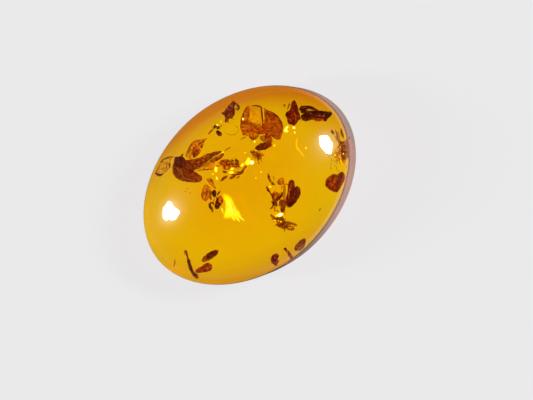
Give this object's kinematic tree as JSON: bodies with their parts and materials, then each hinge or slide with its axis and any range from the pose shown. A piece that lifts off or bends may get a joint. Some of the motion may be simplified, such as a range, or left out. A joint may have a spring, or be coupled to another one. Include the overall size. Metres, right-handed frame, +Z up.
{
  "type": "amber stone",
  "caption": "Polished oval amber cabochon with a domed front, a flat back and scraps of bark, leaf and seed sealed inside.",
  "frame": {"origin": "the middle of the flat back, under the middle of the oval", "axes": "+X along the oval's long side, +Y across it, +Z up from the flat back through the dome"},
  "size_m": [0.02, 0.0148, 0.0068],
  "materials": {
    "clear_amber": "polished",
    "dark_bark": "matte",
    "brown_husk": "matte",
    "red_seed": "satin",
    "orange_leaf": "satin",
    "pale_leaf": "satin"
  },
  "bodies": {
    "root": {"amber_top": "clear_amber", "amber_back": "clear_amber", "round_scale": "orange_leaf", "pointed_flake": "red_seed", "bark_splinter": "dark_bark", "fern_frond": "brown_husk", "heart_seed": "red_seed", "ragged_chip": "brown_husk", "knotted_bud": "dark_bark", "tiny_seed": "dark_bark", "rod_pellet": "dark_bark", "bark_crumb": "dark_bark", "bud_head": "brown_husk", "seed_lobe": "brown_husk", "flower_stalk": "brown_husk", "wing_leaf": "orange_leaf", "pale_bract": "pale_leaf", "lacy_husk": "dark_bark", "husk_strip": "brown_husk", "husk_sliver": "brown_husk", "brown_bract": "brown_husk", "orange_seed": "orange_leaf", "black_seed": "dark_bark", "two_tone_seed": "red_seed", "husk_shard": "dark_bark", "red_pod": "red_seed", "forked_splinter": "dark_bark", "pale_lobes": "pale_leaf", "thin_splinter": "dark_bark", "brown_crumb": "brown_husk", "root_tuft": "brown_husk", "twig": "dark_bark", "bark_sliver": "brown_husk", "dark_pellet": "dark_bark", "red_pellet": "red_seed", "curved_seed": "red_seed", "knobbed_rod": "brown_husk", "oval_pellet": "brown_husk"}
  },
  "joints": []
}
